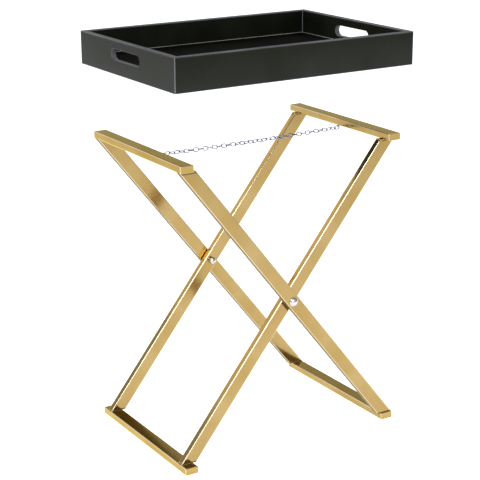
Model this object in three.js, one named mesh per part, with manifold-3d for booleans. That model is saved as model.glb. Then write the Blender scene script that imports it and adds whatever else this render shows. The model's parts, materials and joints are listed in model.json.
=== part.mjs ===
// Tray table: a leatherette tray over a folding X stand of gilt rectangular tube,
// with a steel link chain between the two top bars.
// Millimetres, +Z up. X runs along the tray's long side and Y along the bars.
// The origin is on the floor, midway between the feet. The stand is open and the tray is
// raised straight above the place where it seats.

import * as THREE from 'three';
import { mergeVertices } from 'three/addons/utils/BufferGeometryUtils.js';
import Module from 'manifold-3d';

const wasm = await Module();
wasm.setup();

// ---- Driving dimensions ----

// Rectangular tube of the bars and legs
const TUBE_WIDTH = 30;
const TUBE_THICKNESS = 15;
const TUBE_WALL = 1.2;
const TUBE_CORNER = 1.6;
const TUBE_INNER_CORNER = 0.5;

// Stand
const STAND_HEIGHT = 660;
const BAR_X = 254.5; // middle of each bar, from the stand's middle
const BAR_LENGTH = 373; // over the two end caps
const CAP_THICKNESS = 3;
const CAP_PLUG_DEPTH = 12;
const CAP_CORNER = 1.2;
const LEG_PAIR_GAP = 2; // between crossing legs, filled by a washer

// Pivots
const BOLT_HEAD_RADIUS = 10;
const BOLT_HEAD_HEIGHT = 7.5;
const BOLT_HEAD_RIM = 1.5; // straight part under the dome
const BOLT_SHANK_RADIUS = 3.9;
const CAP_NUT_RADIUS = 7.5;
const CAP_NUT_BASE = 5;
const CAP_NUT_LENGTH = 12;
const NUT_THREAD_DEPTH = 7;
const WASHER_RADIUS = 9;

// Chain
const EYE_X = 243;
const EYE_DROP = 5.2; // the staple's lowest wire below the bar
const EYE_RADIUS = 3;
const EYE_WIRE_RADIUS = 1.1;
const LINK_LENGTH = 15; // overall
const LINK_WIDTH = 9.7; // overall
const LINK_WIRE_RADIUS = 1;
const HALF_CHAIN_LINKS = 20;
const CHAIN_SAG = 3;
const CHAIN_TWIST = -Math.PI; // from one end to the other
const TWIST_START = (40 * Math.PI) / 180; // of the even twist, at the left end
const TWIST_EASE = 19; // how fast the end links' upright pose fades along the chain

// Tray
const TRAY_LENGTH = 572;
const TRAY_WIDTH = 400;
const TRAY_HEIGHT = 70;
const TRAY_WALL = 12;
const TRAY_RECESS = 12; // base board's underside above the walls' bottom edge
const BASE_THICKNESS = 6;
const LINING_THICKNESS = 1;
const WRAP_THICKNESS = 0.9;
const TRAY_RAISED = 158; // above its seat on the bars
const SLOT_LENGTH = 120;
const SLOT_HEIGHT = 23;
const SLOT_MIDDLE_Z = 40.5; // above the walls' bottom edge

// Clearances
const FIT_GAP = 0.3; // between pieces that slide, turn or plug in
const WELD_GAP = 0.05; // between pieces that are welded
const CUT_MARGIN = 1; // how far a cutting solid runs past what it cuts

// ---- Derived dimensions ----

const TUBE_END_Y = BAR_LENGTH / 2 - CAP_THICKNESS;
const BAR_BOTTOM_Z = STAND_HEIGHT - TUBE_THICKNESS;
const PIVOT_Z = STAND_HEIGHT / 2;
const OUTER_LEG_Y = TUBE_END_Y - TUBE_THICKNESS / 2;
const INNER_LEG_Y = OUTER_LEG_Y - TUBE_THICKNESS - LEG_PAIR_GAP;
const TRAY_BOTTOM_Z = STAND_HEIGHT - TRAY_RECESS + TRAY_RAISED;

// A leg's lower edge runs from the top bar's outer lower corner to a point half a tube past
// the pivot, measured square to the leg. That sets its tilt from vertical.
const cornerX = BAR_X + TUBE_WIDTH / 2;
const cornerZ = BAR_BOTTOM_Z - PIVOT_Z;
const LEG_TILT = Math.acos(TUBE_WIDTH / 2 / Math.hypot(cornerX, cornerZ)) - Math.atan2(cornerZ, cornerX);

// ---- Materials ----

const material = (color, roughness, metalness) =>
  new THREE.MeshStandardMaterial({ color, roughness, metalness });
const gilt = () => material(0xcfae66, 0.16, 1);
const steel = () => material(0xc9ccd0, 0.22, 1);
const leatherette = () => material(0x2b2b27, 0.5, 0);
const board = () => material(0xb08a5c, 0.8, 0);

// ---- Solids ----

function solid(geometry) {
  const bare = geometry.clone();
  bare.deleteAttribute('normal');
  bare.deleteAttribute('uv');
  const merged = mergeVertices(bare, 1e-4);
  const triVerts = new Uint32Array(merged.index.array);
  const vertProperties = new Float32Array(merged.attributes.position.array);
  return new wasm.Manifold(new wasm.Mesh({ numProp: 3, vertProperties, triVerts }));
}

function geometryOf(manifold) {
  const mesh = manifold.getMesh();
  const indexed = new THREE.BufferGeometry();
  indexed.setAttribute('position', new THREE.BufferAttribute(mesh.vertProperties, 3));
  indexed.setIndex(new THREE.BufferAttribute(mesh.triVerts, 1));
  const flat = indexed.toNonIndexed();
  flat.computeVertexNormals();
  return flat;
}

const join = (solids) => solids.reduce((all, next) => all.add(next));
const withoutVoids = (manifold) => join(manifold.decompose().filter((shell) => shell.volume() > 0));

function boxAt(sizeX, sizeY, sizeZ, x, y, z) {
  return new THREE.BoxGeometry(sizeX, sizeY, sizeZ).translate(x, y, z);
}

function roundedRectangle(width, height, radius) {
  const shape = new THREE.Shape();
  const x = width / 2 - radius;
  const y = height / 2 - radius;
  shape.absarc(x, y, radius, 0, Math.PI / 2);
  shape.absarc(-x, y, radius, Math.PI / 2, Math.PI);
  shape.absarc(-x, -y, radius, Math.PI, 1.5 * Math.PI);
  shape.absarc(x, -y, radius, 1.5 * Math.PI, 2 * Math.PI);
  shape.closePath();
  return shape;
}

// A straight extrusion along Z, centred on the origin.
function prism(shape, length, curveSegments = 3) {
  const options = { depth: length, bevelEnabled: false, curveSegments };
  return new THREE.ExtrudeGeometry(shape, options).translate(0, 0, -length / 2);
}

// A cylinder along Y between two places.
function rodAlongY(radius, fromY, toY, x, z, sides = 20) {
  const length = Math.abs(toY - fromY);
  return new THREE.CylinderGeometry(radius, radius, length, sides).translate(x, (fromY + toY) / 2, z);
}

// Open rectangular tube along Z: the wide way is X and the thin way is Y.
function tube(length) {
  const outline = roundedRectangle(TUBE_WIDTH, TUBE_THICKNESS, TUBE_CORNER);
  const [insideX, insideY] = [TUBE_WIDTH - 2 * TUBE_WALL, TUBE_THICKNESS - 2 * TUBE_WALL];
  const hollow = roundedRectangle(insideX, insideY, TUBE_INNER_CORNER);
  outline.holes.push(new THREE.Path(hollow.getPoints(1)));
  return prism(outline, length);
}

// ---- Stand ----

const stand = new THREE.Group();

function addTo(group, name, geometry, look) {
  const mesh = new THREE.Mesh(geometry, look);
  mesh.name = name;
  group.add(mesh);
  return mesh;
}

// side is -1 for a bar on the left and 1 on the right; z is the bar's middle height.
function addBar(name, side, z) {
  const bar = new THREE.Group();
  bar.position.set(side * BAR_X, 0, z);
  addTo(bar, `${name}_bar`, tube(2 * TUBE_END_Y).rotateX(Math.PI / 2), gilt());
  for (const [end, way] of [['front', -1], ['rear', 1]]) {
    const plate = prism(roundedRectangle(TUBE_WIDTH, TUBE_THICKNESS, CAP_CORNER), CAP_THICKNESS)
      .rotateX(Math.PI / 2)
      .translate(0, way * (TUBE_END_Y + CAP_THICKNESS / 2 + WELD_GAP / 2), 0);
    const plugInset = 2 * (TUBE_WALL + FIT_GAP);
    const plug = boxAt(
      TUBE_WIDTH - plugInset, CAP_PLUG_DEPTH, TUBE_THICKNESS - plugInset,
      0, way * (TUBE_END_Y - CAP_PLUG_DEPTH / 2 + CAP_THICKNESS / 2), 0,
    );
    addTo(bar, `${name}_${end}_cap`, geometryOf(solid(plate).add(solid(plug))), gilt());
  }
  stand.add(bar);
}

const TOP_BAR_Z = STAND_HEIGHT - TUBE_THICKNESS / 2;
const FOOT_BAR_Z = TUBE_THICKNESS / 2;
addBar('outer_top', -1, TOP_BAR_Z);
addBar('outer_foot', 1, FOOT_BAR_Z);
addBar('inner_top', 1, TOP_BAR_Z);
addBar('inner_foot', -1, FOOT_BAR_Z);

// A leg is cut level at both ends, where the bars rest on it.
// lean is 1 for a leg that runs from top left to bottom right, and -1 for its mirror image.
function addLeg(name, lean, y) {
  const between = BAR_BOTTOM_Z - TUBE_THICKNESS - 2 * WELD_GAP;
  const room = solid(boxAt(2 * STAND_HEIGHT, 2 * TUBE_THICKNESS, between, 0, y, PIVOT_Z));
  const uncut = tube(2 * STAND_HEIGHT).rotateY(-lean * LEG_TILT).translate(0, y, PIVOT_Z);
  const hole = rodAlongY(
    BOLT_SHANK_RADIUS + FIT_GAP, y - TUBE_THICKNESS, y + TUBE_THICKNESS, 0, PIVOT_Z,
  );
  addTo(stand, name, geometryOf(solid(uncut).intersect(room).subtract(solid(hole))), gilt());
}

addLeg('outer_front_leg', 1, -OUTER_LEG_Y);
addLeg('outer_rear_leg', 1, OUTER_LEG_Y);
addLeg('inner_front_leg', -1, -INNER_LEG_Y);
addLeg('inner_rear_leg', -1, INNER_LEG_Y);

// ---- Pivots: domed bolt outboard, washer between the legs, cap nut inboard ----

const INNER_FACE_Y = INNER_LEG_Y - TUBE_THICKNESS / 2;
const OUTER_FACE_Y = OUTER_LEG_Y + TUBE_THICKNESS / 2;

const ROUND_SIDES = 24;
const DOME_STEPS = 5;
const boreRadius = BOLT_SHANK_RADIUS + FIT_GAP;

// A dome along +Y from the origin, straight-sided up to `straight` and rounded over above it.
function dome(radius, straight, height) {
  const points = [new THREE.Vector2(0, 0), new THREE.Vector2(radius, 0)];
  for (let i = 0; i < DOME_STEPS; i += 1) {
    const angle = (i / DOME_STEPS) * (Math.PI / 2);
    const up = straight + (height - straight) * Math.sin(angle);
    points.push(new THREE.Vector2(radius * Math.cos(angle), up));
  }
  points.push(new THREE.Vector2(0, height));
  return new THREE.LatheGeometry(points, ROUND_SIDES);
}

function addPivot(end, way) {
  const headAt = OUTER_FACE_Y + FIT_GAP;
  const shankTo = INNER_FACE_Y - NUT_THREAD_DEPTH;
  const head = dome(BOLT_HEAD_RADIUS, BOLT_HEAD_RIM, BOLT_HEAD_HEIGHT).translate(0, headAt, 0);
  const shank = rodAlongY(BOLT_SHANK_RADIUS, shankTo, headAt + BOLT_HEAD_RIM, 0, 0);
  const nutBack = INNER_FACE_Y - FIT_GAP;
  const nut = dome(CAP_NUT_RADIUS, CAP_NUT_BASE, CAP_NUT_LENGTH)
    .rotateX(Math.PI)
    .translate(0, nutBack, 0);
  const bore = rodAlongY(boreRadius, shankTo - FIT_GAP, nutBack + CUT_MARGIN, 0, 0);
  const washerFrom = INNER_LEG_Y + TUBE_THICKNESS / 2 + FIT_GAP;
  const washerTo = OUTER_LEG_Y - TUBE_THICKNESS / 2 - FIT_GAP;
  const washer = rodAlongY(WASHER_RADIUS, washerFrom, washerTo, 0, 0, ROUND_SIDES);
  const hole = rodAlongY(boreRadius, washerFrom - CUT_MARGIN, washerTo + CUT_MARGIN, 0, 0);

  const pivot = new THREE.Group();
  pivot.position.z = PIVOT_Z;
  if (way < 0) pivot.rotation.z = Math.PI;
  addTo(pivot, `${end}_pivot_bolt`, geometryOf(solid(head).add(solid(shank))), steel());
  addTo(pivot, `${end}_pivot_washer`, geometryOf(solid(washer).subtract(solid(hole))), steel());
  addTo(pivot, `${end}_cap_nut`, geometryOf(solid(nut).subtract(solid(bore))), steel());
  stand.add(pivot);
}

addPivot('front', -1);
addPivot('rear', 1);

// ---- Chain ----

const HANG_Z = BAR_BOTTOM_Z - EYE_DROP; // where the end links hang on the eyes

// A closed loop of wire: straight for `straight`, with round ends of the given radius.
// It lies in the XZ plane, its long way along X.
function wireLoop(straight, radius, wireRadius, sides, endSteps) {
  const ring = [];
  for (const [way, start] of [[1, -Math.PI / 2], [-1, Math.PI / 2]]) {
    for (let i = 0; i <= endSteps; i += 1) {
      const angle = start + (i / endSteps) * Math.PI;
      const outward = new THREE.Vector3(Math.cos(angle), 0, Math.sin(angle));
      const middle = new THREE.Vector3((way * straight) / 2, 0, 0).addScaledVector(outward, radius);
      ring.push([middle, outward]);
    }
  }
  const positions = [];
  const index = [];
  ring.forEach(([middle, outward], i) => {
    const next = (i + 1) % ring.length;
    for (let k = 0; k < sides; k += 1) {
      const angle = (k / sides) * 2 * Math.PI;
      const point = middle.clone().addScaledVector(outward, wireRadius * Math.cos(angle));
      positions.push(point.x, wireRadius * Math.sin(angle), point.z);
      const [a, b] = [i * sides + k, i * sides + ((k + 1) % sides)];
      const [c, d] = [next * sides + k, next * sides + ((k + 1) % sides)];
      index.push(a, b, c, b, d, c);
    }
  });
  const loop = new THREE.BufferGeometry();
  loop.setAttribute('position', new THREE.Float32BufferAttribute(positions, 3));
  loop.setIndex(index);
  return loop;
}

// An eye is a wire staple with both ends welded to the bar's underside.
function addEye(name, side) {
  const staple = wireLoop(2 * EYE_DROP, EYE_RADIUS, EYE_WIRE_RADIUS, 8, 8)
    .rotateX(Math.PI / 2)
    .rotateY(Math.PI / 2)
    .translate(0, 0, EYE_DROP + EYE_RADIUS);
  const above = boxAt(3 * EYE_RADIUS, 4 * EYE_RADIUS, 4 * EYE_DROP, 0, 0, 3 * EYE_DROP - WELD_GAP);
  const eye = addTo(stand, name, geometryOf(solid(staple).subtract(solid(above))), steel());
  eye.position.set(side * EYE_X, 0, HANG_Z);
}

addEye('left_chain_eye', -1);
addEye('right_chain_eye', 1);

// The chain hangs in a shallow parabola from one eye to the other.
const chainZ = (x) => HANG_Z - CHAIN_SAG * (1 - (x / EYE_X) ** 2);

function alongChain(distance) {
  // distance is measured from the middle of the chain, positive to the right
  const steps = 200;
  let x = 0;
  for (let i = 0; i < steps; i += 1) {
    const slope = (2 * CHAIN_SAG * x) / EYE_X ** 2;
    x += distance / steps / Math.hypot(1, slope);
  }
  return x;
}

const wireToWire = 2 * LINK_WIRE_RADIUS + FIT_GAP;
const LINK_REACH = LINK_LENGTH - 2 * LINK_WIRE_RADIUS; // between the wire's middles at a link's ends
const LOOSE_PITCH = LINK_REACH - wireToWire;
const halfLength = EYE_X + (2 / 3) * (CHAIN_SAG ** 2 / EYE_X);
const endLinkAt = halfLength - (LINK_REACH / 2 - EYE_WIRE_RADIUS - LINK_WIRE_RADIUS - FIT_GAP);
const outermost = endLinkAt - LOOSE_PITCH;
const PITCH = (outermost - LOOSE_PITCH) / (HALF_CHAIN_LINKS - 1);

// Links alternate between upright and flat, and the chain has half a turn of twist in it.
// The end links hang upright in the eyes.
function link(distance, number) {
  const x = alongChain(distance);
  const slope = Math.atan((2 * CHAIN_SAG * x) / EYE_X ** 2);
  const share = (distance + halfLength) / (2 * halfLength);
  const eased = Math.exp(-TWIST_EASE * share) + Math.exp(-TWIST_EASE * (1 - share));
  const twist = number === 0 ? 0 : CHAIN_TWIST * share + TWIST_START * (1 - eased);
  const bend = (LINK_WIDTH - 2 * LINK_WIRE_RADIUS) / 2;
  return wireLoop(LINK_REACH - 2 * bend, bend, LINK_WIRE_RADIUS, 5, 4)
    .rotateX(twist + (number % 2) * (Math.PI / 2))
    .rotateY(-slope)
    .translate(x, 0, chainZ(x));
}

for (const [sideName, side] of [['left', -1], ['right', 1]]) {
  const links = [];
  for (let i = 0; i < HALF_CHAIN_LINKS; i += 1) {
    links.push(solid(link(side * (outermost - i * PITCH), i + 1)));
  }
  addTo(stand, `chain_${sideName}_half`, geometryOf(withoutVoids(join(links))), steel());
  addTo(stand, `${sideName}_end_link`, geometryOf(solid(link(side * endLinkAt, 0))), steel());
}
addTo(stand, 'chain_middle_link', geometryOf(solid(link(0, HALF_CHAIN_LINKS + 1))), steel());

// ---- Tray, from its walls' bottom edge up ----

const tray = new THREE.Group();
tray.position.z = TRAY_BOTTOM_Z;

const SLOT_END_FLAT = 0.01; // keeps the two quarter rounds of a slot's end apart
const SLOT_END_STEPS = 6;

// A four-sided wall whose outer face is inset from the tray's outside.
function wallRing(inset, thickness, bottom, top) {
  const height = top - bottom;
  const middle = (top + bottom) / 2;
  const [outX, outY] = [TRAY_LENGTH - 2 * inset, TRAY_WIDTH - 2 * inset];
  const outside = solid(boxAt(outX, outY, height, 0, 0, middle));
  const [inX, inY] = [outX - 2 * thickness, outY - 2 * thickness];
  return outside.subtract(solid(boxAt(inX, inY, height + 2 * CUT_MARGIN, 0, 0, middle)));
}

// The round-ended handle slots' space through both end walls, grown by a margin all round.
function slots(margin) {
  const height = SLOT_HEIGHT + 2 * margin;
  const length = SLOT_LENGTH + 2 * margin;
  const outline = roundedRectangle(length, height, height / 2 - SLOT_END_FLAT);
  const through = prism(outline, TRAY_LENGTH + 2 * CUT_MARGIN, SLOT_END_STEPS)
    .rotateX(Math.PI / 2)
    .rotateZ(Math.PI / 2)
    .translate(0, 0, SLOT_MIDDLE_Z);
  return solid(through);
}

const coreInset = WRAP_THICKNESS + FIT_GAP;
const coreThickness = TRAY_WALL - 2 * coreInset;
const coreTop = TRAY_HEIGHT - coreInset;
const coreRoom = wallRing(
  WRAP_THICKNESS, TRAY_WALL - 2 * WRAP_THICKNESS, -CUT_MARGIN, TRAY_HEIGHT - WRAP_THICKNESS,
);
const wrap = wallRing(0, TRAY_WALL, 0, TRAY_HEIGHT)
  .subtract(coreRoom.subtract(slots(WRAP_THICKNESS)))
  .subtract(slots(0));
addTo(tray, 'tray_wrap', geometryOf(wrap), leatherette());

const longBoard = TRAY_LENGTH - 2 * coreInset;
const shortBoard = TRAY_WIDTH - 2 * (coreInset + coreThickness + FIT_GAP);
const boardX = TRAY_LENGTH / 2 - coreInset - coreThickness / 2;
const boardY = TRAY_WIDTH / 2 - coreInset - coreThickness / 2;
for (const [name, way] of [['front', -1], ['back', 1]]) {
  const side = boxAt(longBoard, coreThickness, coreTop, 0, way * boardY, coreTop / 2);
  addTo(tray, `tray_${name}_board`, side, board());
}
for (const [name, way] of [['left', -1], ['right', 1]]) {
  const end = solid(boxAt(coreThickness, shortBoard, coreTop, way * boardX, 0, coreTop / 2));
  addTo(tray, `tray_${name}_board`, geometryOf(end.subtract(slots(coreInset))), board());
}

const panelX = TRAY_LENGTH - 2 * (TRAY_WALL + FIT_GAP);
const panelY = TRAY_WIDTH - 2 * (TRAY_WALL + FIT_GAP);
const liningZ = TRAY_RECESS + BASE_THICKNESS + FIT_GAP;
addTo(
  tray, 'tray_base_board',
  boxAt(panelX, panelY, BASE_THICKNESS, 0, 0, TRAY_RECESS + BASE_THICKNESS / 2), board(),
);
addTo(
  tray, 'tray_floor_lining',
  boxAt(panelX, panelY, LINING_THICKNESS, 0, 0, liningZ + LINING_THICKNESS / 2), leatherette(),
);

const table = new THREE.Group();
table.add(stand, tray);

export default table;
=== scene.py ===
# Tray table: leatherette tray over a folding X stand of gilt tube, with a link chain.
# Metres, +Z up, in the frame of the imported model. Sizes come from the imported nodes' boxes.
import json
import math

import bpy
from mathutils import Matrix, Vector


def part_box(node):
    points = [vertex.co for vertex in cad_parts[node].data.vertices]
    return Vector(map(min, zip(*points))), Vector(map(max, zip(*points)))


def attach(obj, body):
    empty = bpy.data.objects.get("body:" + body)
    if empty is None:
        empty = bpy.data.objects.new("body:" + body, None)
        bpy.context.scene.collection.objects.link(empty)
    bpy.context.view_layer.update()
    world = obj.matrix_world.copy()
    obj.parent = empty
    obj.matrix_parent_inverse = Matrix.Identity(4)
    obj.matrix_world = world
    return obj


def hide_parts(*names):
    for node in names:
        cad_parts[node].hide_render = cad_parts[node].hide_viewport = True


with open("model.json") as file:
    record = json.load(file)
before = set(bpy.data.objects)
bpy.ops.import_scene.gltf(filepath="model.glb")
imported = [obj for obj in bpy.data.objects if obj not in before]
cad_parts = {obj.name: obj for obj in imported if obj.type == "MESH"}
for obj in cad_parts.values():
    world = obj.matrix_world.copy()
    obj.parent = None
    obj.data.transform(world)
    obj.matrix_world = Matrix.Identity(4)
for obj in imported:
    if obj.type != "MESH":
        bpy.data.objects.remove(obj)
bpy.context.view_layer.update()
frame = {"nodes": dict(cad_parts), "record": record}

MM = 0.001  # metres in a millimetre
JOINTS = {j["name"]: j for j in frame["record"]["behaviour"]["joints"]}


# ---- Camera: the viewing angle of a standing person, slightly above the tray ----

AZIMUTH, ELEVATION, ROLL = math.radians(31.98), math.radians(17.39), math.radians(-0.33)
CAMERA_AIM = Vector((-0.0075, 0.0323, 0.4106))
CAMERA_DISTANCE = 3.0336
LENS_MM, SENSOR_MM = 103.1, 36
LENS_SHIFT = 0.0083  # shares out the photo's offset between tray and stand


def add_camera():
    back = Vector((
        -math.sin(AZIMUTH) * math.cos(ELEVATION),
        -math.cos(AZIMUTH) * math.cos(ELEVATION),
        math.sin(ELEVATION),
    ))
    right = Vector((0, 0, 1)).cross(back).normalized()
    up = back.cross(right)
    across = right * math.cos(ROLL) + up * math.sin(ROLL)
    upward = up * math.cos(ROLL) - right * math.sin(ROLL)
    data = bpy.data.cameras.new("camera")
    data.lens, data.sensor_width = LENS_MM, SENSOR_MM
    data.shift_x = LENS_SHIFT
    camera = bpy.data.objects.new("camera", data)
    turn = Matrix((across, upward, back)).transposed().to_4x4()
    camera.matrix_world = Matrix.Translation(CAMERA_AIM + back * CAMERA_DISTANCE) @ turn
    bpy.context.scene.collection.objects.link(camera)
    bpy.context.scene.camera = camera


add_camera()


# ---- Materials ----

MIX_FACTOR, MIX_A, MIX_B, MIX_RESULT = 0, 6, 7, 2  # a mix node's sockets when it mixes colours
RANGE_LIMITS = slice(1, 5)  # a map range node's from and to limits


class Shader:
    """A principled material and short ways to add nodes to it. Its patterns follow the pieces'
    grain attribute, whose Z runs along a bar or leg, or the object's own axes without it."""

    def __init__(self, name, grain=True):
        self.material = bpy.data.materials.new(name)
        self.material.use_nodes = True
        self.tree = self.material.node_tree
        self.bsdf = self.tree.nodes["Principled BSDF"]
        if grain:
            self.place = self.node("ShaderNodeAttribute", attribute_name="grain").outputs["Vector"]
        else:
            self.place = self.node("ShaderNodeTexCoord").outputs["Object"]

    def node(self, kind, **settings):
        made = self.tree.nodes.new(kind)
        for key, value in settings.items():
            if isinstance(value, bpy.types.NodeSocket):
                self.tree.links.new(value, made.inputs[key])
            elif key in made.inputs:
                made.inputs[key].default_value = value
            else:
                setattr(made, key, value)
        return made

    def stretched(self, scale):
        return self.node("ShaderNodeMapping", Vector=self.place, Scale=scale).outputs["Vector"]

    def noise(self, scale, detail=4, vector=None, roughness=0.5):
        made = self.node(
            "ShaderNodeTexNoise", Vector=vector or self.place, Scale=scale, Detail=detail,
            Roughness=roughness,
        )
        return made.outputs["Fac"]

    def ranged(self, value, low, high, out_low, out_high):
        made = self.node("ShaderNodeMapRange", Value=value)
        for socket, number in zip(made.inputs[RANGE_LIMITS], (low, high, out_low, out_high)):
            socket.default_value = number
        return made.outputs["Result"]

    def mixed(self, factor, first, second):
        made = self.node("ShaderNodeMix", data_type="RGBA")
        self.tree.links.new(factor, made.inputs[MIX_FACTOR])
        for socket, colour in ((made.inputs[MIX_A], first), (made.inputs[MIX_B], second)):
            if isinstance(colour, bpy.types.NodeSocket):
                self.tree.links.new(colour, socket)
            else:
                socket.default_value = (*colour, 1)
        return made.outputs[MIX_RESULT]

    def maths(self, operation, first, second):
        made = self.node("ShaderNodeMath", operation=operation)
        self.tree.links.new(first, made.inputs[0])
        self.tree.links.new(second, made.inputs[1])
        return made.outputs[0]

    def added(self, first, second):
        return self.maths("ADD", first, second)

    def multiplied(self, first, second):
        return self.maths("MULTIPLY", first, second)

    def edge(self):
        return self.node("ShaderNodeAttribute", attribute_name="edge").outputs["Fac"]

    def bump(self, height, strength, distance):
        made = self.node("ShaderNodeBump", Height=height, Strength=strength, Distance=distance)
        self.set("Normal", made.outputs["Normal"])

    def set(self, socket, value):
        if isinstance(value, bpy.types.NodeSocket):
            self.tree.links.new(value, self.bsdf.inputs[socket])
        elif isinstance(value, tuple):
            self.bsdf.inputs[socket].default_value = (*value, 1)
        else:
            self.bsdf.inputs[socket].default_value = value


# painted shade: the dark colour laid along the outer legs' undersides
PAINTED_SHADE = (0.085, 0.060, 0.018)
GILT_SHEEN = (1.0, 0.88, 0.52)
LEATHER_SHEEN = (0.91, 1.0, 0.76)


def gilt_material(name, light, deep, worn):
    """Polished gilt plating: faint streaks along the local Z axis, paler where edges are worn.

    An edge value under 0 is painted shade: it darkens the plating, and makes it rougher and barely
    metallic."""
    shader = Shader(name)
    streaks = shader.noise(1, detail=6, vector=shader.stretched((900, 900, 7)), roughness=0.65)
    clouds = shader.noise(9, detail=3)
    tone = shader.mixed(shader.ranged(clouds, 0.35, 0.65, 0, 1), light, deep)
    tone = shader.mixed(shader.ranged(streaks, 0.3, 0.75, 0, 0.22), tone, deep)
    # painted shade: edge values under 0 darken the tone towards the painted shade colour
    tone = shader.mixed(shader.ranged(shader.edge(), 0, -1, 0, 0.9), tone, PAINTED_SHADE)
    shader.set("Base Color", shader.mixed(shader.ranged(shader.edge(), 0, 1, 0, 0.75), tone, worn))
    smudges = shader.ranged(shader.noise(14, detail=2), 0.35, 0.75, 0.0, 0.03)
    # the painted shade strip is also rougher and, below, barely metallic
    smudges = shader.added(smudges, shader.ranged(shader.edge(), 0, -1, 0, 0.35))
    shader.set("Roughness", shader.added(shader.ranged(streaks, 0.3, 0.8, 0.10, 0.17), smudges))
    shader.set("Metallic", shader.ranged(shader.edge(), 0, -1, 1.0, 0.1))
    shader.set("Specular Tint", GILT_SHEEN)
    shader.bump(streaks, strength=0.03, distance=0.2 * MM)
    return shader.material


def steel_material(name, light, dark, worn):
    """Nickel plated steel: fine scuffs and cloudy plating."""
    shader = Shader(name)
    clouds = shader.noise(160)
    scuffs = shader.noise(900, detail=5)
    tone = shader.mixed(shader.ranged(clouds, 0.3, 0.7, 0, 1), light, dark)
    shader.set("Base Color", shader.mixed(shader.ranged(shader.edge(), 0, 1, 0, 0.6), tone, worn))
    shader.set("Roughness", shader.ranged(scuffs, 0.3, 0.7, 0.12, 0.3))
    shader.set("Metallic", 1.0)
    shader.bump(scuffs, strength=0.08, distance=0.1 * MM)
    return shader.material


def leather_material(name, dark, light, worn, gloss, shine):
    """Satin leatherette: fine pebbled grain, cloudy tone, paler along the edges: edge wear, and a
    painted highlight on the rim, the upright corners and the lining's welt.

    gloss is its least roughness and shine its specular level."""
    shader = Shader(name)
    cells = shader.node("ShaderNodeTexVoronoi", Vector=shader.place, Scale=1100.0)
    pebbles = shader.ranged(cells.outputs["Distance"], 0, 0.7, 1, 0)
    creases = shader.noise(420, detail=5, roughness=0.6)
    clouds = shader.noise(11)
    tone = shader.mixed(shader.ranged(clouds, 0.35, 0.68, 0, 1), dark, light)
    tone = shader.mixed(shader.ranged(creases, 0.45, 0.75, 0, 0.3), tone, light)
    uneven = shader.noise(5, detail=3)
    # the worn colour's mask: edge wear, and a painted highlight where the pieces lay one
    wear_and_painted_light = shader.multiplied(shader.edge(), shader.ranged(uneven, 0.38, 0.62, 0.5, 1.0))
    shader.set("Base Color", shader.mixed(wear_and_painted_light, tone, worn))
    rough = shader.added(
        shader.ranged(creases, 0.3, 0.7, gloss, gloss + 0.12),
        shader.ranged(clouds, 0.3, 0.7, 0, 0.06),
    )
    shader.set("Roughness", rough)
    shader.bump(shader.added(pebbles, creases), strength=0.18, distance=0.25 * MM)
    shader.set("Specular IOR Level", shine)
    shader.set("Specular Tint", LEATHER_SHEEN)
    return shader.material


def board_material():
    """Black-stained fibreboard: speckled fibres, with brown showing through."""
    shader = Shader("fibreboard", grain=False)
    stained, thinly_stained, brown = (0.014, 0.011, 0.009), (0.030, 0.022, 0.016), (0.07, 0.05, 0.034)
    fibres = shader.noise(700, detail=6, roughness=0.7)
    patches = shader.noise(24, detail=3)
    tone = shader.mixed(shader.ranged(patches, 0.35, 0.7, 0, 1), stained, thinly_stained)
    shader.set("Base Color", shader.mixed(shader.ranged(fibres, 0.5, 0.75, 0, 0.6), tone, brown))
    shader.set("Roughness", shader.ranged(fibres, 0.3, 0.7, 0.7, 0.9))
    shader.bump(fibres, strength=0.3, distance=0.3 * MM)
    return shader.material


GILT = gilt_material(
    "gilt_plate", light=(0.385, 0.278, 0.120), deep=(0.325, 0.219, 0.074), worn=(0.80, 0.71, 0.53),
)
CAP_GILT = gilt_material(
    "gilt_cap", light=(0.42, 0.295, 0.105), deep=(0.35, 0.23, 0.068), worn=(0.74, 0.62, 0.42),
)
STEEL = steel_material(
    "nickel_plate", light=(0.66, 0.64, 0.65), dark=(0.44, 0.43, 0.45), worn=(0.82, 0.80, 0.82),
)
CHAIN_STEEL = steel_material(
    "zinc_plate", light=(0.30, 0.33, 0.42), dark=(0.13, 0.15, 0.20), worn=(0.34, 0.37, 0.46),
)
# the worn colour is partly edge wear and partly a painted highlight along the rim and the upright
# corners
LEATHER = leather_material(
    "leatherette", dark=(0.0026, 0.0030, 0.0019), light=(0.0058, 0.0067, 0.0040),
    worn=(0.200, 0.200, 0.235), gloss=0.36, shine=0.16,
)
# the worn colour here is a painted highlight: the light line along the welt
LINING = leather_material(
    "lining", dark=(0.0016, 0.0017, 0.0012), light=(0.0034, 0.0035, 0.0026),
    worn=(0.42, 0.42, 0.38), gloss=0.5, shine=0.01,
)
BOARD = board_material()


# ---- Mesh building ----

def make_piece(name, points, faces, edges, material, body, place=None):
    """A smooth-shaded mesh with flat faces kept flat.

    edges holds a number for each point: 0 is plain, 1 full edge wear and -1 full painted shade. On
    the leatherette and the lining the wear values also lay a painted highlight."""
    mesh = bpy.data.meshes.new(name)
    placed = [place @ p for p in points] if place else points
    mesh.from_pydata([tuple(p) for p in placed], [], faces)
    mesh.attributes.new("edge", "FLOAT", "POINT").data.foreach_set("value", edges)
    grain = mesh.attributes.new("grain", "FLOAT_VECTOR", "POINT")
    grain.data.foreach_set("vector", [number for p in points for number in p])
    mesh.polygons.foreach_set("use_smooth", [True] * len(mesh.polygons))
    mesh.materials.append(material)
    piece = bpy.data.objects.new(name, mesh)
    bpy.context.scene.collection.objects.link(piece)
    flat = piece.modifiers.new("flat_faces", "WEIGHTED_NORMAL")
    flat.weight, flat.keep_sharp = 100, False
    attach(piece, body)
    return piece


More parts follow.
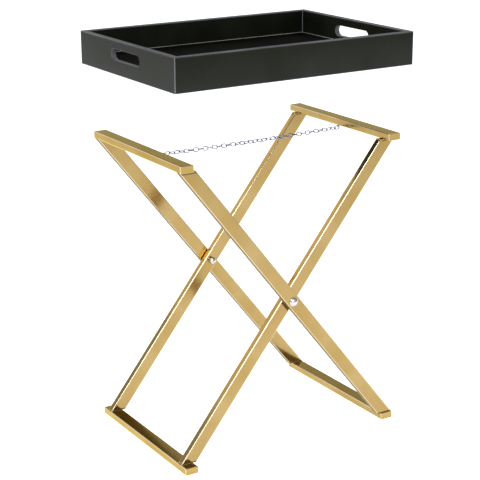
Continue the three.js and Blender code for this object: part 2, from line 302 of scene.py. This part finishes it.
class Build:
    """Collects points, faces and edge values (wear, painted highlight and painted shade) for one
    piece.
    """

    def __init__(self):
        self.points, self.faces, self.edges = [], [], []

    def loop(self, points, wear):
        start = len(self.points)
        self.points.extend(points)
        self.edges.extend(wear if isinstance(wear, list) else [wear] * len(points))
        return list(range(start, start + len(points)))

    def bridge(self, first, second, closed=True):
        count = len(first)
        for i in range(count if closed else count - 1):
            j = (i + 1) % count
            self.faces.append((first[i], first[j], second[j], second[i]))

    def piece(self, name, material, body, slot, place=None):
        return make_piece(name, self.points, self.faces, self.edges, material, body, place)


def rounded_outline(width, height, radius, steps=5):
    """Counter-clockwise points of a rounded rectangle, and 1 for those on a corner's round."""
    points, wear = [], []
    x, y = width / 2 - radius, height / 2 - radius
    for quarter, (sx, sy) in enumerate(((1, 1), (-1, 1), (-1, -1), (1, -1))):
        for i in range(steps + 1):
            angle = (quarter + i / steps) * math.pi / 2
            points.append((sx * x + radius * math.cos(angle), sy * y + radius * math.sin(angle)))
            wear.append(math.sin(math.pi * i / steps) ** 0.5)
    return points, wear


def upright(build, outline, wear, levels):
    """Stacks copies of the outline. levels holds (height, inset, wear added, or None for no wear).

    A height is a number, or a function of a point's x and y."""
    loops = []
    for height, inset, extra in levels:
        points = []
        for x, y in outline:
            shrink_x = x - math.copysign(min(inset, abs(x)), x)
            shrink_y = y - math.copysign(min(inset, abs(y)), y)
            z = height(x, y) if callable(height) else height
            points.append(Vector((shrink_x, shrink_y, z)))
        # per-point edge values: wear, painted highlight, and painted shade under 0
        wear_and_painted_light = [0.0] * len(wear) if extra is None else [min(1, w + extra) for w in wear]
        loops.append(build.loop(points, wear_and_painted_light))
    for first, second in zip(loops, loops[1:]):
        build.bridge(first, second)
    build.faces.append(tuple(reversed(loops[0])))
    build.faces.append(tuple(loops[-1]))


def revolve(build, profile, sides=48):
    """Turns (radius, height, wear) points round the local Z axis, from the axis to the axis."""
    loops = []
    for radius, height, wear in profile:
        if radius == 0:
            loops.append(build.loop([Vector((0, 0, height))], wear))
            continue
        ring = [
            Vector((radius * math.cos(a), radius * math.sin(a), height))
            for a in (2 * math.pi * i / sides for i in range(sides))
        ]
        loops.append(build.loop(ring, wear))
    for first, second in zip(loops, loops[1:]):
        if len(first) == 1:
            for i in range(sides):
                build.faces.append((first[0], second[(i + 1) % sides], second[i]))
        elif len(second) == 1:
            for i in range(sides):
                build.faces.append((first[i], first[(i + 1) % sides], second[0]))
        else:
            build.bridge(first, second)


def sweep(build, path, side, radius, sides=10, closed=True, wear=0.0):
    """A round wire along path. side is a direction that is never along the path."""
    loops = []
    count = len(path)
    for i, point in enumerate(path):
        before = path[i - 1] if closed or i else point
        after = path[(i + 1) % count] if closed or i < count - 1 else point
        along = (after - before).normalized()
        across = along.cross(side).normalized()
        other = along.cross(across)
        ring = []
        for k in range(sides):
            angle = 2 * math.pi * k / sides
            out = across * radius * math.cos(angle)
            ring.append(point + out + other * radius * math.sin(angle))
        loops.append(build.loop(ring, wear))
    pairs = list(zip(loops, loops[1:])) + ([(loops[-1], loops[0])] if closed else [])
    for first, second in pairs:
        build.bridge(first, second)
    if not closed:
        build.faces.append(tuple(reversed(loops[0])))
        build.faces.append(tuple(loops[-1]))


# ---- Stand: bars, caps and legs ----

def size_of(node):
    low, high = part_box(node)
    return Vector(low), Vector(high)


ALONG_Y = Matrix.Rotation(-math.pi / 2, 4, "X")  # turns local Z to +Y
AGAINST_Y = Matrix.Rotation(math.pi / 2, 4, "X")  # turns local Z to -Y
CORNER = 2.2 * MM  # radius of the tube's corners
CAP_CORNER = 1.7 * MM
CAP_GAP = 0.08 * MM  # between a cap and its tube
LEG_END = 4 * MM  # how far the wear at a leg's ends reaches
PAINTED_SHADE_REACH = 0.9 * MM  # how far the painted shade reaches up an outer leg's sides from its underside
WELD_RADIUS = 0.75 * MM
WELD_OVERLAP = 0.15 * MM  # of a weld's middle and the leg's end
WELD_RIPPLE = 0.08 * MM
RIPPLE_TURN = 1.7  # radians from one point to the next


def add_bar(frame_name, bar):
    low, high = size_of(bar)
    middle, size = (low + high) / 2, high - low
    outline, wear = rounded_outline(size.x, size.z, CORNER)
    build = Build()
    half = size.y / 2
    soft = 0.35 * MM  # rounding of the cut ends
    upright(build, outline, wear, [
        (-half, soft, 0.6), (-half + soft, 0, 0.5), (-half + 3 * soft, 0, 0),
        (half - 3 * soft, 0, 0), (half - soft, 0, 0.5), (half, soft, 0.6),
    ])
    place = Matrix.Translation(middle) @ ALONG_Y
    piece = build.piece(bar + "_tube", GILT, frame_name, "gilt_tube", place)
    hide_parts(bar)


def add_cap(frame_name, cap, bar):
    low, high = size_of(cap)
    bar_low, bar_high = size_of(bar)
    rear = (low.y + high.y) > 0
    from_y, to_y = (bar_high.y, high.y) if rear else (bar_low.y, low.y)
    thick = abs(to_y - from_y) - CAP_GAP
    outline, wear = rounded_outline(high.x - low.x, high.z - low.z, CAP_CORNER)
    soft = 0.55 * MM  # rounding of the outer edge
    build = Build()
    upright(build, outline, wear, [
        (0, 0.5 * MM, 0.3), (0.4 * MM, 0, 0.4),
        (thick - 1.6 * soft, 0, 0.15), (thick - soft, 0.05 * soft, 0.5),
        (thick - 0.45 * soft, 0.3 * soft, 1), (thick, soft, 0.5), (thick, 2 * soft, None),
    ])
    start_y = from_y + (CAP_GAP if rear else -CAP_GAP)
    middle = Vector(((low.x + high.x) / 2, start_y, (low.z + high.z) / 2))
    place = Matrix.Translation(middle) @ (ALONG_Y if rear else AGAINST_Y)
    piece = build.piece(cap + "_plate", CAP_GILT, frame_name, "gilt_tube", place)
    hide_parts(cap)


PIVOT = Vector(JOINTS["outer_frame_fold"]["pos_m"])
top_low, top_high = size_of("outer_top_bar")
TUBE_WIDTH = top_high.x - top_low.x
corner_x, corner_z = -top_low.x, top_low.z - PIVOT.z
# a leg's side passes the pivot at half the tube's width and meets its bar's outer lower corner
TILT = math.acos(TUBE_WIDTH / 2 / math.hypot(corner_x, corner_z)) - math.atan2(corner_z, corner_x)


def add_leg(frame_name, leg, lean):
    """lean is 1 for an outer leg, from top left to bottom right, and -1 for an inner one."""
    low, high = size_of(leg)
    outline, wear = rounded_outline(TUBE_WIDTH, high.y - low.y, CORNER)
    if lean > 0:  # the outer legs' undersides get painted shade, an edge value of -1
        under = PAINTED_SHADE_REACH - TUBE_WIDTH / 2
        wear = [-1.0 if x < under else worn for (x, _), worn in zip(outline, wear)]

    def level(z):
        return lambda x, y: (z - PIVOT.z - x * lean * math.sin(TILT)) / math.cos(TILT)

    build = Build()
    upright(build, outline, wear, [
        (level(low.z), 0, 0.3), (level(low.z + LEG_END), 0, 0),
        (level(high.z - LEG_END), 0, 0), (level(high.z), 0, 0.3),
    ])
    middle = Vector((0, (low.y + high.y) / 2, PIVOT.z))
    place = Matrix.Translation(middle) @ Matrix.Rotation(-lean * TILT, 4, "Y")
    piece = build.piece(leg + "_tube", GILT, frame_name, "gilt_tube", place)
    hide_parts(leg)
    add_weld(frame_name, leg + "_top_weld", place, outline, level(high.z - WELD_OVERLAP))
    add_weld(frame_name, leg + "_foot_weld", place, outline, level(low.z + WELD_OVERLAP))


def add_weld(frame_name, name, place, outline, level):
    """A thin polished bead where a leg meets its bar, following the leg's slanted section."""
    in_x, in_y = 0.985, 0.97  # the bead's middle, as a share of the leg's section
    path = [place @ Vector((x * in_x, y * in_y, level(x * in_x, y))) for x, y in outline]
    build = Build()
    sweep(build, path, Vector((0, 0, 1)), WELD_RADIUS, sides=8, wear=0.35)
    for i, point in enumerate(build.points):
        build.points[i] = point + Vector((0, 0, WELD_RIPPLE * math.sin(i * RIPPLE_TURN)))
    build.piece(name, GILT, frame_name, "gilt_tube")


for body in ("outer_frame", "inner_frame"):
    kind = body.split("_")[0]
    for level_name in ("top", "foot"):
        add_bar(body, f"{kind}_{level_name}_bar")
        for end in ("front", "rear"):
            add_cap(body, f"{kind}_{level_name}_{end}_cap", f"{kind}_{level_name}_bar")
    for end in ("front", "rear"):
        add_leg(body, f"{kind}_{end}_leg", 1 if kind == "outer" else -1)


# ---- Pivots ----

SHANK_RADIUS, SHANK_TIP_RADIUS = 3.9 * MM, 3.3 * MM
SHANK_TIP = 0.6 * MM
HEAD_GAP = 0.1 * MM  # between the bolt's head and the leg
FLANGE = 1.1 * MM  # the thin rim under the bolt's dome
NUT_STRAIGHT = 5 * MM


def quarter_dome(radius, base, height, first, steps):
    """(radius, height, wear) points from a dome's foot at base to just under its top."""
    angles = (i / steps * math.pi / 2 for i in range(first, steps))
    return [(radius * math.cos(a), base + (height - base) * math.sin(a), 0.0) for a in angles]


def nut_profile(radius, straight, height):
    lip = 0.35 * MM
    profile = [(0, 0, 0), (radius - lip, 0, 0.2), (radius, lip, 0.8), (radius, straight, 0.2)]
    return profile + quarter_dome(radius, straight, height, 1, 12) + [(0, height, 0)]


def head_profile(radius, height):
    profile = [
        (0, 0, 0), (radius - 0.2 * MM, 0, 0.2), (radius, 0.3 * MM, 0.8), (radius, FLANGE, 0.8),
        (radius * 0.93, FLANGE + 0.35 * MM, 0.5), (radius * 0.86, FLANGE + 0.4 * MM, 0),
    ]
    return profile + quarter_dome(radius * 0.84, FLANGE + 0.6 * MM, height, 0, 13) + [(0, height, 0)]


def shank_profile(reach):
    return [
        (0, 0, 0), (SHANK_TIP_RADIUS, 0, 0.5), (SHANK_RADIUS, SHANK_TIP, 0.5),
        (SHANK_RADIUS, reach, 0), (0, reach, 0),
    ]


def washer_profile(radius, thick):
    soft = 0.2 * MM
    return [
        (0, 0, 0), (radius - soft, 0, 0.6), (radius, soft, 1),
        (radius, thick - soft, 1), (radius - soft, thick, 0.6), (0, thick, 0),
    ]


def turned(y, way):
    """Places local Z along +Y (way 1) or -Y (way -1), at the pivot's axis."""
    return Matrix.Translation((0, y, PIVOT.z)) @ (ALONG_Y if way > 0 else AGAINST_Y)


for end, way in (("front", -1), ("rear", 1)):
    bolt_low, bolt_high = size_of(f"{end}_pivot_bolt")
    outer_low, outer_high = size_of(f"outer_{end}_leg")
    head_y = outer_high.y if way > 0 else outer_low.y
    tip_y = bolt_high.y if way > 0 else bolt_low.y
    back_y = bolt_low.y if way > 0 else bolt_high.y
    radius = (bolt_high.z - bolt_low.z) / 2
    height = abs(tip_y - head_y) - HEAD_GAP

    head = Build()
    revolve(head, head_profile(radius, height))
    place = turned(head_y + way * HEAD_GAP, way)
    head_piece = head.piece(f"{end}_bolt_head", STEEL, "pivot", "steel", place)
    shank = Build()
    revolve(shank, shank_profile(abs(head_y - back_y)), sides=32)
    shank.piece(f"{end}_bolt_shank", STEEL, "pivot", "steel", turned(back_y, way))
    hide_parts(f"{end}_pivot_bolt")

    nut_low, nut_high = size_of(f"{end}_cap_nut")
    nut_radius = (nut_high.z - nut_low.z) / 2
    nut = Build()
    start_y = nut_low.y if way > 0 else nut_high.y
    far_y = nut_high.y if way > 0 else nut_low.y
    revolve(nut, nut_profile(nut_radius, NUT_STRAIGHT, abs(far_y - start_y)))
    nut_piece = nut.piece(f"{end}_dome_nut", STEEL, "pivot", "steel", turned(far_y, -way))
    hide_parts(f"{end}_cap_nut")

    washer_low, washer_high = size_of(f"{end}_pivot_washer")
    washer_radius = (washer_high.z - washer_low.z) / 2
    washer = Build()
    revolve(washer, washer_profile(washer_radius, washer_high.y - washer_low.y))
    washer_piece = washer.piece(f"{end}_washer", STEEL, "pivot", "steel", turned(washer_low.y, 1))
    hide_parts(f"{end}_pivot_washer")


# ---- Chain ----

EYE = Vector(JOINTS["right_chain_swing"]["pos_m"])
MIDDLE = Vector(JOINTS["middle_link_rock"]["pos_m"])
SAG = EYE.z - MIDDLE.z
LINK_WIRE = 1.0 * MM  # radius
LINK_LENGTH, LINK_WIDTH = 15 * MM, 9.7 * MM
LINK_BEND_STEPS = 10
EYE_WIRE = 1.1 * MM  # radius
EYE_BEND = 3.0 * MM
EYE_SHOULDER = 1.2 * MM  # below the staple's top
EYE_BEND_STEPS = 12
FIT_GAP = 0.3 * MM
HALF_LINKS = 20
CHAIN_TWIST = -math.pi  # from one end to the other
TWIST_START = math.radians(40)  # of the even twist, at the left end
TWIST_EASE = 19  # how fast the end links' upright pose fades along the chain
REACH = LINK_LENGTH - 2 * LINK_WIRE
LOOSE_PITCH = REACH - (2 * LINK_WIRE + FIT_GAP)
HALF_LENGTH = EYE.x + (2 / 3) * SAG ** 2 / EYE.x
END_LINK_AT = HALF_LENGTH - (REACH / 2 - EYE_WIRE - LINK_WIRE - FIT_GAP)
OUTERMOST = END_LINK_AT - LOOSE_PITCH
PITCH = (OUTERMOST - LOOSE_PITCH) / (HALF_LINKS - 1)


def link_path(distance, number):
    """Wire of one link, by its distance along the chain from the chain's middle."""
    x = distance * (1 - (2 / 3) * (SAG / EYE.x) ** 2 * (distance / HALF_LENGTH) ** 2)
    slope = math.atan(2 * SAG * x / EYE.x ** 2)
    share = (distance + HALF_LENGTH) / (2 * HALF_LENGTH)
    eased = math.exp(-TWIST_EASE * share) + math.exp(-TWIST_EASE * (1 - share))
    twist = 0 if number == 0 else CHAIN_TWIST * share + TWIST_START * (1 - eased)
    twist += number % 2 * math.pi / 2
    bend = (LINK_WIDTH - 2 * LINK_WIRE) / 2
    straight = REACH - 2 * bend
    turn = Matrix.Rotation(-slope, 3, "Y") @ Matrix.Rotation(twist, 3, "X")
    middle = Vector((x, 0, EYE.z - SAG * (1 - (x / EYE.x) ** 2)))
    path = []
    for way in (1, -1):
        for i in range(LINK_BEND_STEPS + 1):
            angle = -way * math.pi / 2 + i / LINK_BEND_STEPS * math.pi
            local = Vector((way * straight / 2 + bend * math.cos(angle), 0, bend * math.sin(angle)))
            path.append(middle + turn @ local)
    return path, turn @ Vector((0, 1, 0))


def add_links(name, body, links, *nodes):
    build = Build()
    for distance, number in links:
        path, side = link_path(distance, number)
        sweep(build, path, side, LINK_WIRE, wear=0.15)
    piece = build.piece(name, CHAIN_STEEL, body, "steel")
    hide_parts(*nodes)


def staple_path(x, top):
    """From the bar down, round below and back up, with its lowest point at the eye's height."""
    shoulder = top - EYE_SHOULDER
    path = [Vector((x, -EYE_BEND, top)), Vector((x, -EYE_BEND, shoulder))]
    for i in range(EYE_BEND_STEPS + 1):
        angle = math.pi + i / EYE_BEND_STEPS * math.pi
        y, rise = EYE_BEND * math.cos(angle), EYE_BEND * math.sin(angle)
        path.append(Vector((x, y, EYE.z + EYE_BEND + rise)))
    return path + [Vector((x, EYE_BEND, shoulder)), Vector((x, EYE_BEND, top))]


for side_name, side in (("left", -1), ("right", 1)):
    links = [(side * (OUTERMOST - i * PITCH), i + 1) for i in range(HALF_LINKS)]
    end_link = [(side * END_LINK_AT, 0)]
    add_links(f"{side_name}_chain_links", f"chain_{side_name}", links, f"chain_{side_name}_half")
    add_links(f"{side_name}_hook_link", f"{side_name}_end_link", end_link, f"{side_name}_end_link")

    body = "outer_frame" if side < 0 else "inner_frame"
    _, eye_high = size_of(f"{side_name}_chain_eye")
    build = Build()
    path = staple_path(side * EYE.x, eye_high.z)
    sweep(build, path, Vector((1, 0, 0)), EYE_WIRE, sides=12, closed=False, wear=0.2)
    staple = build.piece(f"{side_name}_staple", CHAIN_STEEL, body, "steel")
    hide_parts(f"{side_name}_chain_eye")
add_links("middle_link", "chain_middle", [(0.0, HALF_LINKS + 1)], "chain_middle_link")


# ---- Tray ----

wrap_low, wrap_high = size_of("tray_wrap")
lining_low, lining_high = size_of("tray_floor_lining")
WALL = lining_low.x - wrap_low.x - FIT_GAP
HALF_X, HALF_Y = wrap_high.x, wrap_high.y
HEIGHT = wrap_high.z - wrap_low.z
SKIN = 0.9 * MM
RIM = 1.7 * MM  # rounding of the rim's edges
CORNER_OUTSIDE, CORNER_INSIDE = 2.2, 1.3  # mm, rounding of the tray's upright corners
CORNER_STEPS = 6
RIM_STEPS = 6
OPENINGS = {o["name"]: o["box_m"] for o in frame["record"]["physics"]["openings"]}
slot_low, slot_high = OPENINGS["right_handle_slot"]
SLOT_Z = (slot_low[2] + slot_high[2]) / 2 - wrap_low.z
SLOT_HALF_LENGTH, SLOT_HALF_HEIGHT = 60 * MM, 11.5 * MM
SLOT_ROUND = 1.5 * MM
SLOT_ROUND_STEPS = 6
SLOT_END_STEPS = 14
HEM = 0.35 * MM  # rounding of the walls' bottom edges
WALL_FOOT = 1.6 * MM  # where a wall's flat face starts
WALL_TOP = HEIGHT - RIM - 1.5 * MM  # where it ends


def ring_at(inset, z):
    """A level loop round the tray at an inset from its outside, with soft upright corners."""
    share = inset / WALL
    radius = (CORNER_OUTSIDE * (1 - share) + CORNER_INSIDE * share) * MM
    size_x, size_y = 2 * (HALF_X - inset), 2 * (HALF_Y - inset)
    outline, wear = rounded_outline(size_x, size_y, radius, CORNER_STEPS)
    return [Vector((x, y, z)) for x, y in outline], wear


def wrap_profile():
    """(inset, height, wear) over the rim from the outside, and back under the skin."""
    profile = [(HEM, 0, 0.6), (0, HEM, 0.8), (0, WALL_FOOT, 0.05), (0, WALL_TOP, 0.0)]
    quarter = [i / RIM_STEPS * math.pi / 2 for i in range(RIM_STEPS + 1)]
    base = HEIGHT - RIM
    # the rim's wear values are partly edge wear and partly a painted highlight along the rim
    for a in quarter:
        wear = 0.33 * math.sin(2 * a) + 0.17
        profile.append((RIM * (1 - math.cos(a)), base + RIM * math.sin(a), wear))
    for a in quarter:
        wear = 0.33 * math.sin(2 * a) + 0.17
        profile.append((WALL - RIM + RIM * math.sin(a), base + RIM * math.cos(a), wear))
    profile += [
        (WALL, WALL_TOP, 0.0), (WALL, WALL_FOOT, 0), (WALL, HEM, 0.2), (WALL - HEM, 0, 0.2),
        (WALL - SKIN, 0, 0), (WALL - SKIN, HEIGHT - SKIN, 0), (SKIN, HEIGHT - SKIN, 0), (SKIN, 0, 0),
    ]
    return profile


def slot_loop(x, grow):
    """The slot's outline on an end wall, grown outwards, at that x."""
    points = []
    radius = SLOT_HALF_HEIGHT + grow
    for way in (1, -1):
        for i in range(SLOT_END_STEPS + 1):
            angle = -math.pi / 2 + i / SLOT_END_STEPS * math.pi
            y = way * (SLOT_HALF_LENGTH - SLOT_HALF_HEIGHT + radius * math.cos(angle))
            z = SLOT_Z + way * radius * math.sin(angle)
            points.append(Vector((x, y, z)))
    return points


def fill_around(build, corners, hole):
    """Faces between a rectangle's four corners and a round-ended hole inside it.

    corners run (-y low, +y low, +y high, -y high). hole starts at its lowest +y point and goes
    round through +y, up, and back along -y."""
    half = len(hole) // 2
    quarter = half // 2
    plus, minus = hole[:half], hole[half:]
    for i in range(quarter):
        build.faces.append((corners[1], plus[i + 1], plus[i]))
    build.faces.append((corners[1], corners[2], plus[quarter]))
    for i in range(quarter, half - 1):
        build.faces.append((corners[2], plus[i + 1], plus[i]))
    build.faces.append((corners[2], corners[3], minus[0], plus[-1]))
    for i in range(quarter):
        build.faces.append((corners[3], minus[i + 1], minus[i]))
    build.faces.append((corners[3], corners[0], minus[quarter]))
    for i in range(quarter, half - 1):
        build.faces.append((corners[0], minus[i + 1], minus[i]))
    build.faces.append((corners[0], corners[1], plus[0], minus[-1]))


def add_wrap():
    build = Build()
    profile = wrap_profile()
    loops = []
    for inset, z, rim_wear in profile:
        points, corner_wear = ring_at(inset, z)
        # the upright corners' wear is partly edge wear and partly a painted highlight along them
        shows = 1.0 if inset < SKIN / 2 or inset > WALL - SKIN / 2 else 0.2
        wear = [min(1, max(rim_wear, 0.85 * shows * w)) for w in corner_wear]
        loops.append(build.loop(points, wear))
    count = len(loops[0])
    # each end wall's straight run starts at the last point of a corner
    runs = {-1: 2 * (CORNER_STEPS + 1) - 1, 1: 4 * (CORNER_STEPS + 1) - 1}
    feet = [i for i, (_, z, _) in enumerate(profile) if z == WALL_FOOT]
    outer, inner = feet[0], feet[1] - 1
    hidden_inner, hidden_outer = len(profile) - 4, len(profile) - 2
    walls = (outer, inner, hidden_inner, hidden_outer)
    for pair, (first, second) in enumerate(zip(loops, loops[1:] + loops[:1])):
        for i in range(count):
            if pair in walls and i in runs.values():
                continue
            j = (i + 1) % count
            build.faces.append((first[i], first[j], second[j], second[i]))

    def corners_of(pair, run):
        """A wall face's corners: -y low, +y low, +y high, -y high."""
        first, second = loops[pair], loops[pair + 1]
        low, high = (first, second) if profile[pair][1] < profile[pair + 1][1] else (second, first)
        ends = sorted((run, (run + 1) % count), key=lambda i: build.points[low[i]].y)
        return [low[ends[0]], low[ends[1]], high[ends[1]], high[ends[0]]]

    rounding = []
    for k in range(SLOT_ROUND_STEPS + 1):
        a = k / SLOT_ROUND_STEPS * math.pi / 2
        depth, grow = SLOT_ROUND * (1 - math.cos(a)), SLOT_ROUND * (1 - math.sin(a))
        rounding.append((depth, grow, 0.42 * math.sin(a)))
    shown = rounding + [(WALL - depth, grow, wear) for depth, grow, wear in reversed(rounding)]
    hidden = [(SKIN, SKIN, 0), (WALL - SKIN, SKIN, 0)]
    sleeves = ((shown, outer, inner, False), (hidden, hidden_outer, hidden_inner, True))
    for way, run in runs.items():
        for sleeve, from_wall, to_wall, turned_in in sleeves:
            holes = []
            for depth, grow, wear in sleeve:
                holes.append(build.loop(slot_loop(way * (HALF_X - depth), grow), wear))
            before = len(build.faces)
            fill_around(build, corners_of(from_wall, run), holes[0])
            for first, second in zip(holes, holes[1:]):
                build.bridge(first, second)
            far = len(build.faces)
            fill_around(build, corners_of(to_wall, run), holes[-1])
            for number in range(before, len(build.faces)):
                if ((number < far) == (way < 0)) != turned_in:
                    build.faces[number] = tuple(reversed(build.faces[number]))
    place = Matrix.Translation((0, 0, wrap_low.z))
    piece = build.piece("tray_leatherette", LEATHER, "tray", "leatherette", place)
    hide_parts("tray_wrap")


PANEL_CORNER = 1.2 * MM
PANEL_HEM = 0.2 * MM  # rounding of the bottom edge
WELT_SUNK = 0.1 * MM  # the welt's middle below the panel's top
FLAT_START = 0.4 * MM  # from the edge's rounding to the flat top
WELT_STEPS = 8
EDGE_STEPS = 5


def add_panel(name, low, high, edge, material, slot, *nodes, welt=0.0):
    """A flat panel with rounded edges or, if welt is set, a raised round welt along them.

    edge is the rounding's radius and welt the welt's."""
    build = Build()
    size = high - low
    outline, _ = rounded_outline(size.x, size.y, PANEL_CORNER, CORNER_STEPS)
    thick = size.z
    levels = [(0, PANEL_HEM, 0), (PANEL_HEM, 0, 0.2)]
    if welt:
        base = thick - WELT_SUNK
        # the welt's wear lays the lining's worn colour along its top: a painted highlight
        for i in range(WELT_STEPS + 1):
            a = i / WELT_STEPS * math.pi
            levels.append((base + welt * math.sin(a), welt * (1 - math.cos(a)), math.sin(a)))
    else:
        base = thick - edge
        for i in range(1, EDGE_STEPS + 1):
            a = i / EDGE_STEPS * math.pi / 2
            wear = 0.9 * math.sin(2 * a)
            levels.append((base + edge * math.sin(a), edge * (1 - math.cos(a)), wear))
    levels.append((thick, 2 * max(welt, edge) + FLAT_START, 0))
    upright(build, outline, [0.0] * len(outline), levels)
    middle = Vector(((low.x + high.x) / 2, (low.y + high.y) / 2, low.z))
    piece = build.piece(name, material, "tray", slot, Matrix.Translation(middle))
    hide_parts(*nodes)


add_wrap()
add_panel(
    "tray_lining", lining_low, lining_high, 0.7 * MM, LINING, "leatherette", "tray_floor_lining",
    welt=0.9 * MM,
)
base_low, base_high = size_of("tray_base_board")
add_panel("tray_base", base_low, base_high, 0.6 * MM, BOARD, "board", "tray_base_board")
for end in ("front", "back", "left", "right"):
    node = frame["nodes"][f"tray_{end}_board"]
    node.data.materials.clear()
    node.data.materials.append(BOARD)


# ---- Studio ----

FLOOR_REACH, FLOOR_Z = 14, -0.1
FLOOR_PALE, FLOOR_SHADED = (0.86, 0.86, 0.86), (0.84, 0.84, 0.84)
LIGHT_AIM = Vector((0, 0, 0.45))


def add_floor():
    mesh = bpy.data.meshes.new("floor")
    quarters = ((-1, -1), (1, -1), (1, 1), (-1, 1))
    corners = [(x * FLOOR_REACH, y * FLOOR_REACH, FLOOR_Z) for x, y in quarters]
    mesh.from_pydata(corners, [], [(0, 1, 2, 3)])
    shader = Shader("floor", grain=False)
    clouds = shader.ranged(shader.noise(1.5, detail=2), 0, 1, 0, 1)
    shader.set("Base Color", shader.mixed(clouds, FLOOR_PALE, FLOOR_SHADED))
    shader.set("Roughness", 0.9)
    shader.set("Emission Color", (1.0, 1.0, 1.0))
    shader.set("Emission Strength", 0.72)
    mesh.materials.append(shader.material)
    floor = bpy.data.objects.new("floor", mesh)
    bpy.context.scene.collection.objects.link(floor)


def add_light(name, place, size, power, colour=(1, 1, 1)):
    data = bpy.data.lights.new(name, "AREA")
    data.shape, data.size, data.size_y = "RECTANGLE", size[0], size[1]
    data.energy, data.color = power, colour
    light = bpy.data.objects.new(name, data)
    light.location = place
    aim = LIGHT_AIM - Vector(place)
    light.rotation_euler = aim.to_track_quat("-Z", "Y").to_euler()
    bpy.context.scene.collection.objects.link(light)


def add_world():
    """A studio that is grey round the sides, paler overhead, and darker towards +X."""
    overhead, round_about, low = (0.95, 0.95, 0.95, 1), (0.60, 0.62, 0.64, 1), (0.62, 0.62, 0.62, 1)
    world = bpy.data.worlds.new("studio")
    bpy.context.scene.world = world
    world.use_nodes = True
    tree = world.node_tree
    place = tree.nodes.new("ShaderNodeTexCoord")
    split = tree.nodes.new("ShaderNodeSeparateXYZ")
    ramp = tree.nodes.new("ShaderNodeValToRGB")
    tree.links.new(place.outputs["Generated"], split.inputs[0])
    tree.links.new(split.outputs["Z"], ramp.inputs[0])
    stops = ramp.color_ramp.elements
    stops[0].position, stops[0].color = 0.0, low
    stops[1].position, stops[1].color = 1.0, overhead
    for height in (0.12, 0.5):
        stops.new(height).color = round_about
    side = tree.nodes.new("ShaderNodeMapRange")
    for socket, number in zip(side.inputs[RANGE_LIMITS], (0.6, 1.0, 1.0, 0.45)):
        socket.default_value = number
    tree.links.new(split.outputs["X"], side.inputs[0])
    shade = tree.nodes.new("ShaderNodeMix")
    shade.data_type, shade.blend_type = "RGBA", "MULTIPLY"
    shade.inputs[MIX_FACTOR].default_value = 1.0
    tree.links.new(ramp.outputs[0], shade.inputs[MIX_A])
    tree.links.new(side.outputs[0], shade.inputs[MIX_B])
    background = tree.nodes["Background"]
    tree.links.new(shade.outputs[MIX_RESULT], background.inputs["Color"])
    background.inputs["Strength"].default_value = 0.95


add_floor()
add_world()
add_light("key", place=(-1.9, -1.9, 2.3), size=(2.2, 1.8), power=95)
add_light("top", place=(0.3, 1.8, 3.2), size=(2.2, 1.2), power=30, colour=(0.97, 0.98, 1.0))
add_light("warm", place=(-1.25, 2.5, 2.0), size=(1.7, 1.4), power=7, colour=(1.0, 0.80, 0.55))
bpy.context.scene.view_settings.view_transform = "Standard"
